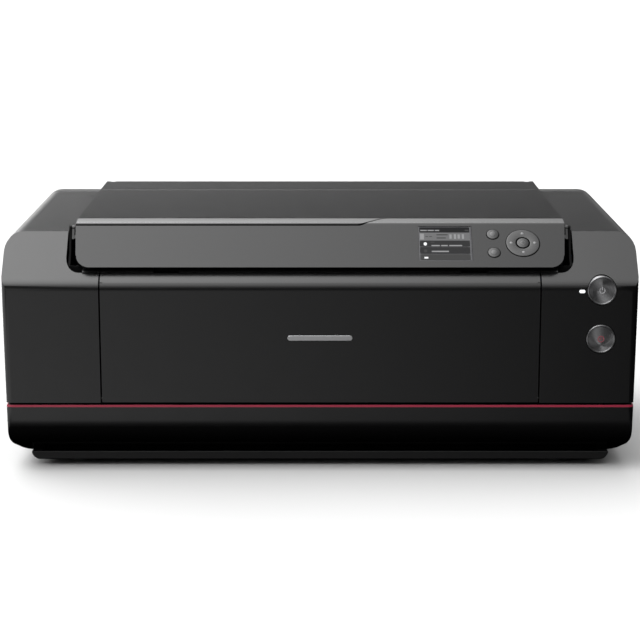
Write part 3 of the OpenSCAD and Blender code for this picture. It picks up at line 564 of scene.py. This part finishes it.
class PRINTER_OT_fascia(bpy.types.Operator):
    """Control fascia with its screen and keys"""
    bl_idname = "printer.fascia"
    bl_label = "Control fascia"

    def execute(self, context):
        finished_copy("control_fascia", lid_plastic(), sizes().edge_round, 3)
        self.screen()
        self.keys()
        return {"FINISHED"}

    def screen(self):
        """Dark glass, and on it a plain picture of bands, bars and dots, each a thin tablet."""
        glass = material("screen_glass", lambda n: plastic(
            n, (0.003, 0.003, 0.004), 0.12, 500.0, 0.000002, 0.08))
        finished_copy("lcd_screen", glass, 0.0003)
        black, dark, dim, grey, light, white = range(6)
        tones = {black: (0.005, 0.005, 0.006), dark: (0.019, 0.019, 0.02), grey: (0.04, 0.04, 0.04),
                 dim: (0.12, 0.12, 0.123), light: (0.23, 0.23, 0.235), white: (0.75, 0.76, 0.77)}
        mats = [material("screen_tone_%d" % k, lambda n, k=k: glowing(n, tones[k], 1.0, 0.3, 0.06))
                for k in range(len(tones))]
        middle_x, band_w = -0.6, 57.4       # the bands leave a dark edge on the right, a painted shadow along the screen's right side
        bands = [(middle_x, up, band_w, h, tone) for up, h, tone in (
            (19.8, 7.6, black), (10.0, 11.2, dim), (-0.2, 8.6, dark), (-9.9, 9.8, dark),
            (-19.4, 8.2, grey))]
        header = [(-24.4, 18.9, 7.5, 1.6, light), (-16.2, 18.9, 7.0, 1.6, light),
                  (-9.0, 18.9, 5.0, 1.6, light), (25.0, 18.9, 4.2, 1.8, grey)]
        levels = [(-26.5, 10.0, 4.5, 8.4, light), (-21.0, 10.0, 3.0, 1.0, grey),
                  (-16.6, 10.0, 3.0, 1.0, grey), (-3.4, 12.6, 13.0, 1.5, grey),
                  (-4.6, 8.0, 10.5, 1.5, grey), (6.2, 10.0, 2.6, 6.2, light),
                  (11.3, 10.0, 2.4, 6.8, light), (15.6, 10.0, 2.6, 6.2, light),
                  (20.4, 10.0, 2.4, 6.8, light)]
        rows = [(-23.0, -0.6, 3.8, 4.8, white), (-14.6, 1.9, 4.6, 1.2, grey),
                (-11.2, -3.0, 9.6, 1.7, light), (-1.2, -3.0, 7.6, 1.7, light),
                (11.6, -3.0, 14.8, 1.7, light), (-23.0, -10.6, 3.8, 4.6, grey),
                (-6.2, -11.4, 19.6, 1.9, light), (-22.4, -20.4, 4.4, 2.4, white)]
        verts, faces, index = [], [], []
        for x, up, w, h, tone in bands + header + levels + rows:
            dot = w < 4 and h > 4 and tone != light
            v, f = self.tablet(w, h, 0.12, 1.0 if dot else 0.1)
            lift = 0.0 if w == band_w else 0.06
            faces += [tuple(i + len(verts) for i in q) for q in f]
            verts += (v + [x, up, lift - 0.34]).tolist()
            index += [tone] * len(f)
        piece("screen_picture", on_fascia(verts, SCREEN_AT), faces, "fascia", mats, index)

    @staticmethod
    def tablet(w, h, t, k):
        """A flat tablet of w by h by t: its outline is (w/2 |cos a|^k, h/2 |sin a|^k), signed, which is
        an ellipse at k = 1 and near a rectangle at k = 0.1."""
        steps = 24
        a = np.linspace(0, 2 * np.pi, steps, endpoint=False)
        c, s = np.cos(a), np.sin(a)
        out = np.stack([np.sign(c) * np.abs(c) ** k * w / 2, np.sign(s) * np.abs(s) ** k * h / 2], -1)
        top = np.column_stack([out, np.full(steps, t)])
        low = np.column_stack([out, np.zeros(steps)])
        verts = np.concatenate([low, top])
        faces = [tuple(f) for f in grid_faces(2, steps, True)]
        faces += [tuple(range(steps, 2 * steps)), tuple(range(steps - 1, -1, -1))]
        return verts, faces

    def keys(self):
        """Domed round keys and the ring, with their marks; each is a turned profile."""
        steps, dome = sizes().round_steps, sizes().key_dome / MM
        dark = material("key_plastic", lambda n: plastic(n, (0.009, 0.009, 0.0092), 0.26, 900.0, 0.00001))
        pale = material("key_print", lambda n: plastic(n, (0.12, 0.12, 0.122), 0.4, 900.0, 0.00001))
        soft = material("key_shade", lambda n: plastic(n, (0.042, 0.042, 0.043), 0.4, 900.0, 0.00001))
        for name, node, at, top in (("home_key", "home_button", HOME_AT, 0.7),
                                    ("back_key", "back_button", BACK_AT, 0.7),
                                    ("ok_key", "ok_button", RING_AT, 0.9)):
            verts, faces = lathe(self.profile(KEY_RADIUS, top, dome), steps)
            piece(name + "_cap", on_fascia(verts, at), faces, name, dark, node=node)
        self.ring(steps, dark)
        self.direction_marks(pale)
        for name, body, at in (("home_mark", "home_key", HOME_AT), ("back_mark", "back_key", BACK_AT),
                               ("ok_mark", "ok_key", RING_AT)):
            v, f = lathe([[0, 0.9], [2.6, 0.9], [3.2, 1.1], [2.6, 1.32], [0, 1.36]], 32)
            piece(name, on_fascia(v, at), f, body, soft)

    @staticmethod
    def ring(steps, mat):
        """A rounded rectangle of (radius, height) turned about the ring's axis, closed on itself."""
        low, high = KEY_FOOT, RING_TOP
        section = rounded([[RING_INNER, low], [RING_INNER, high], [RING_OUTER, high], [RING_OUTER, low],
                           [RING_INNER, low]], 0.9, 5)
        a = np.linspace(0, 2 * np.pi, steps, endpoint=False)
        heights = np.broadcast_to(section[:, 1:], (len(section), steps))
        pts = np.stack([section[:, :1] * np.cos(a), section[:, :1] * np.sin(a), heights], -1)
        verts = pts[:-1].reshape(-1, 3)
        faces = grid_faces(len(section), steps, True) % len(verts)
        piece("direction_ring_cap", on_fascia(verts, RING_AT), faces[:, ::-1], "ring_key", mat,
              node="direction_ring")

    @staticmethod
    def direction_marks(mat):
        """Four small domed dots on the ring, a quarter turn apart."""
        verts, faces = [], []
        for k in range(4):
            a = k * np.pi / 2
            v, f = lathe([[0, 0.7], [1.3, 0.7], [1.65, 0.8], [1.3, 0.98], [0, 1.02]], 20)
            v = v + [DIRECTION_MARKS_AT * np.cos(a), DIRECTION_MARKS_AT * np.sin(a), 0]
            faces += [tuple(i + len(verts) for i in q) for q in f]
            verts += v.tolist()
        piece("direction_marks", on_fascia(verts, RING_AT), faces, "ring_key", mat)

    @staticmethod
    def profile(r, top, dome):
        """A key's side and domed top, its two outer corners rounded."""
        return rounded([[0, KEY_FOOT], [r, KEY_FOOT], [r, top], [0, top + dome]], 0.7, 5)


class PRINTER_OT_lid(bpy.types.Operator):
    """Lid, rear tray cover and paper supports"""
    bl_idname = "printer.lid"
    bl_label = "Lid and rear tray"

    def execute(self, context):
        for node in ("top_cover", "rear_tray_cover"):
            finished_copy(node, lid_plastic(), sizes().edge_round, 3)
        for node in ("paper_support_middle", "paper_support_top", "rear_tray", "paper_guide_left",
                     "paper_guide_right"):
            finished_copy(node, inner_plastic(), sizes().fine_edge_round)
        finished_copy("manual_feed_tray", black_plastic(), sizes().edge_round)
        return {"FINISHED"}


class PRINTER_OT_buttons(bpy.types.Operator):
    """Power and stop buttons of spun metal, and the status lamp"""
    bl_idname = "printer.buttons"
    bl_label = "Push buttons"

    def execute(self, context):
        steps = sizes().round_steps
        profile = rounded([[0, -8.6], [15.8, -8.6], [16.4, -1.0], [16.4, 0.6], [16.0, 1.0], [14.9, 1.05],
                           [14.5, 0.7], [0, 0.5]], 0.25, 4)
        for name, node, body, at in (("power_cap", "power_button", "power_key", POWER_AT),
                                     ("stop_cap", "stop_button", "stop_key", STOP_AT)):
            verts, faces = lathe(profile, steps)
            centre = (at[0] * MM, 0, at[1] * MM)
            spun = turned_metal(name + "_metal", colours().metal, centre)
            obj = piece(name, facing_front(verts, *at), faces, body, spun, node=node)
            self.turning_uv(obj, centre)
        self.power_symbol()
        self.stop_symbol()
        lamp = material("lamp_lens", lambda n: glowing(n, (0.95, 0.97, 1.0), 1.0))
        finished_copy("power_lamp", lamp, 0.0004, 3)
        return {"FINISHED"}

    @staticmethod
    def turning_uv(obj, centre):
        """UV map whose U runs round the centre, so that the gloss stretches along the turning grooves.
        V is the distance from the centre."""
        mesh = obj.data
        co = np.zeros(len(mesh.vertices) * 3)
        mesh.vertices.foreach_get("co", co)
        co = co.reshape(-1, 3)
        loops = np.zeros(len(mesh.loops), np.int32)
        mesh.loops.foreach_get("vertex_index", loops)
        x, z = co[loops, 0] - centre[0], co[loops, 2] - centre[2]
        u = np.arctan2(z, x) / (2 * np.pi) + 0.5
        start = np.zeros(len(mesh.polygons), np.int32)
        total = np.zeros(len(mesh.polygons), np.int32)
        mesh.polygons.foreach_get("loop_start", start)
        mesh.polygons.foreach_get("loop_total", total)
        owner = np.repeat(np.arange(len(start)), total)
        high = np.maximum.reduceat(u, start)[owner]
        u = np.where(high - u > 0.5, u + 1, u)
        layer = mesh.uv_layers.new(name="turning")
        layer.data.foreach_set("uv", np.stack([u, np.hypot(x, z) * 50], -1).ravel().astype(np.float32))

    def power_symbol(self):
        """An open ring and a bar, swept as flat bands."""
        pale = material("symbol_pale", lambda n: plastic(n, (0.4, 0.4, 0.41), 0.4, 900.0, 0.00001))
        verts, faces = self.band([(3.0, a) for a in np.linspace(130, 410, 40)], 0.9)
        bar, bfaces = self.strip([[0, 0.6], [0, 4.4]], 0.9)
        faces += [tuple(i + len(verts) for i in f) for f in bfaces]
        verts = np.concatenate([verts, bar])
        piece("power_symbol", facing_front(verts, *POWER_AT), faces, "power_key", pale)

    def stop_symbol(self):
        """A red ring round a small triangle."""
        red = material("symbol_red", lambda n: plastic(n, (0.3, 0.06, 0.08), 0.35, 900.0, 0.00001))
        verts, faces = self.band([(3.3, a) for a in np.linspace(0, 360, 49)], 0.8)
        tri, tfaces = self.strip([[-1.1, 0.9], [0, -1.1], [1.1, 0.9], [-1.1, 0.9]], 0.55)
        faces += [tuple(i + len(verts) for i in f) for f in tfaces]
        verts = np.concatenate([verts, tri])
        piece("stop_symbol", facing_front(verts, *STOP_AT), faces, "stop_key", red)

    def band(self, polar, width):
        """A band of even width through points of (radius, angle in degrees)."""
        return self.strip([[r * np.cos(np.radians(a)), r * np.sin(np.radians(a))] for r, a in polar], width)

    @staticmethod
    def strip(path, width):
        """A band of even width along a path in the plane.
        Rows are path points and columns the corners of the band's section."""
        low, high = 0.4, 0.72               # heights of its underside and its top
        p = np.asarray(path, float)
        d = np.gradient(p, axis=0)
        d /= np.linalg.norm(d, axis=1)[:, None] + 1e-12
        n = np.stack([-d[:, 1], d[:, 0]], -1) * width / 2
        a, b = p + n, p - n
        z0, z1 = np.full(len(p), low), np.full(len(p), high)
        rows = np.stack([np.column_stack([a, z0]), np.column_stack([a, z1]), np.column_stack([b, z1]),
                         np.column_stack([b, z0])], 1)
        faces = [tuple(f) for f in grid_faces(len(p), 4, True)]
        last = 4 * (len(p) - 1)
        faces += [(0, 1, 2, 3), (last + 3, last + 2, last + 1, last)]
        return rows.reshape(-1, 3), faces


class PRINTER_OT_chassis(bpy.types.Operator):
    """Steel chassis, carriage, paper feed and electronics inside"""
    bl_idname = "printer.chassis"
    bl_label = "Mechanism"

    def execute(self, context):
        steel = material("zinc_steel", lambda n: metal(n, (0.52, 0.53, 0.54), 0.36, (1, 0.1, 0.1), 300.0))
        bright = material("ground_shaft", lambda n: metal(
            n, (0.66, 0.66, 0.68), 0.14, (0.05, 1, 1), 2000.0))
        brass = material("machined_brass", lambda n: metal(n, (0.7, 0.5, 0.2), 0.25))
        acetal = material("acetal", lambda n: plastic(n, (0.6, 0.59, 0.55), 0.45, 1500.0, 0.00002))
        roller = material("roller_rubber", lambda n: rubber(n, (0.06, 0.06, 0.065), 0.7))
        fine = sizes().fine_edge_round
        for node in ("side_frames", "carriage_rail", "data_ports"):
            finished_copy(node, steel, fine)
        for node in ("guide_shaft", "spur_wheels"):
            dress(node, bright)
        for node in ("drive_pulley", "motor_pinion"):
            dress(node, brass)
        for node in ("idler_pulley", "idler_gear"):
            dress(node, acetal)
        for node in ("feed_roller", "exit_roller", "pinch_rollers", "pickup_roller", "cap_unit"):
            dress(node, roller)
        dress("timing_belt", material("belt_rubber", lambda n: rubber(n, (0.012, 0.012, 0.012), 0.6)))
        dress("encoder_strip", material("encoder_film", lambda n: plastic(n, (0.35, 0.35, 0.36), 0.2)))
        for node in ("platen", "purge_base", "maintenance_cartridge", "tank_bay", "power_inlet"):
            finished_copy(node, inner_plastic(), fine)
        finished_copy("carriage", black_plastic(), fine)
        finished_copy("head_lock_lever", material(
            "lever_plastic", lambda n: plastic(n, (0.06, 0.13, 0.3), 0.4)), fine)
        finished_copy("print_head", black_plastic(), fine)
        finished_copy("drive_motors", material(
            "motor_paint", lambda n: metal(n, (0.1, 0.1, 0.105), 0.4)), fine)
        finished_copy("power_supply", steel, fine)
        finished_copy("main_board", material(
            "board_mask", lambda n: plastic(n, (0.01, 0.07, 0.03), 0.3)), fine)
        finished_copy("ink_tanks", material(
            "tank_plastic", lambda n: plastic(n, (0.02, 0.02, 0.024), 0.25)), fine)
        return {"FINISHED"}


class PRINTER_OT_stage(bpy.types.Operator):
    """Pale floor, soft dome of light and the camera"""
    bl_idname = "printer.stage"
    bl_label = "Studio"

    def execute(self, context):
        scene = context.scene
        scene.view_settings.view_transform = "Standard"
        self.floor(scene)
        self.dome(scene)
        self.camera(scene)
        return {"FINISHED"}

    @staticmethod
    def floor(scene):
        """A wide pale sheet. Reflections and bounced light pass it by and meet the dome's lower half."""
        mesh = bpy.data.meshes.new("studio_floor")
        side = 40
        corners = [(-side, -side, 0), (side, -side, 0), (side, side, 0), (-side, side, 0)]
        mesh.from_pydata(corners, [], [(0, 1, 2, 3)])
        obj = bpy.data.objects.new("studio_floor", mesh)
        scene.collection.objects.link(obj)
        mat, tree, bsdf = shader("studio_paper")
        paper = studio().paper
        tree.links.new(tint(tree, noise(tree, 3.0), scaled(paper, 0.98), scaled(paper, 1.02)),
                       bsdf.inputs["Base Color"])
        bsdf.inputs["Roughness"].default_value = 0.9
        bsdf.inputs["Specular IOR Level"].default_value = 0.0
        mesh.materials.append(mat)
        obj.visible_glossy = False
        obj.visible_diffuse = False

    @staticmethod
    def dome(scene):
        """Light that grows with height and is strong on the left, weak on the right. Behind, it glows at
        the horizon, is dark above that and returns higher up. A weak light from below stands for the
        floor's reflection. The numbers that end each spread are limits of a direction's X, Y or Z."""
        world = bpy.data.worlds.new("studio_air")
        scene.world = world
        world.use_nodes = True
        tree = world.node_tree
        coord = tree.nodes.new("ShaderNodeTexCoord")
        axes = tree.nodes.new("ShaderNodeSeparateXYZ")
        tree.links.new(coord.outputs["Generated"], axes.inputs["Vector"])
        room = studio()
        above = spread(tree, axes.outputs["X"], room.dome_left, room.dome_right, -0.3, 0.3)
        below = spread(tree, axes.outputs["X"], room.under_left, room.under_right, -0.3, 0.2)
        height = axes.outputs["Z"]
        front = spread(tree, height, 0.0, 1.0, 0.2, 0.95, True)
        rear = blended(tree, spread(tree, height, 0.0, 1.0, 0.31, 0.56, True),
                       spread(tree, height, room.glow, room.behind, 0.03, 0.13), 1.0)
        share = blended(tree, spread(tree, axes.outputs["Y"], 0.0, 1.0, 0.3, 0.7), front, rear)
        steep = product(tree, spread(tree, height, 0.0, 1.0, -0.5, -0.3),
                        spread(tree, height, 1.5, 1.0, -0.29, -0.2))
        strength = blended(tree, spread(tree, height, 0.0, 1.0, -0.04, 0.03), product(tree, below, steep),
                           product(tree, above, share))
        back = tree.nodes["Background"]
        back.inputs["Color"].default_value = (1, 1, 1, 1)
        tree.links.new(strength, back.inputs["Strength"])

    @staticmethod
    def camera(scene):
        lens = bpy.data.cameras.new("camera")
        lens.sensor_width = 36.0
        lens.lens = 107.8
        lens.clip_end = 200
        distance, eye_height, aim_height = 2.128, 0.6326, 0.1791
        eye = bpy.data.objects.new("camera", lens)
        scene.collection.objects.link(eye)
        eye.location = Vector((0.0, FRONT - distance, eye_height))
        aim = Vector((0, FRONT, aim_height))
        eye.rotation_euler = (aim - eye.location).to_track_quat("-Z", "Y").to_euler()
        scene.camera = eye


class PRINTER_PT_panel(bpy.types.Panel):
    """Lists the printer's pieces and the sizes and colours that a user changes"""
    bl_idname = "PRINTER_PT_panel"
    bl_label = "Photo printer"
    bl_space_type = "VIEW_3D"
    bl_region_type = "UI"
    bl_category = "Printer"

    def draw(self, context):
        layout = self.layout
        scene = context.scene
        for group in (scene.printer_sizes, scene.printer_colours, scene.printer_studio):
            for key in group.__annotations__:
                layout.prop(group, key)
        for op in OPERATORS:
            layout.operator(op.bl_idname)


OPERATORS = (PRINTER_OT_covers, PRINTER_OT_door, PRINTER_OT_fascia, PRINTER_OT_lid, PRINTER_OT_buttons,
             PRINTER_OT_chassis, PRINTER_OT_stage)
CLASSES = (PrinterSizes, PrinterColours, PrinterStudio, *OPERATORS, PRINTER_PT_panel)


def register():
    for cls in CLASSES:
        bpy.utils.register_class(cls)
    bpy.types.Scene.printer_sizes = PointerProperty(type=PrinterSizes)
    bpy.types.Scene.printer_colours = PointerProperty(type=PrinterColours)
    bpy.types.Scene.printer_studio = PointerProperty(type=PrinterStudio)


def unregister():
    for name in ("printer_sizes", "printer_colours", "printer_studio"):
        delattr(bpy.types.Scene, name)
    for cls in reversed(CLASSES):
        bpy.utils.unregister_class(cls)


def main():
    register()
    for op in OPERATORS:
        getattr(bpy.ops.printer, op.bl_idname.split(".")[1])()


if __name__ == "__main__":
    main()
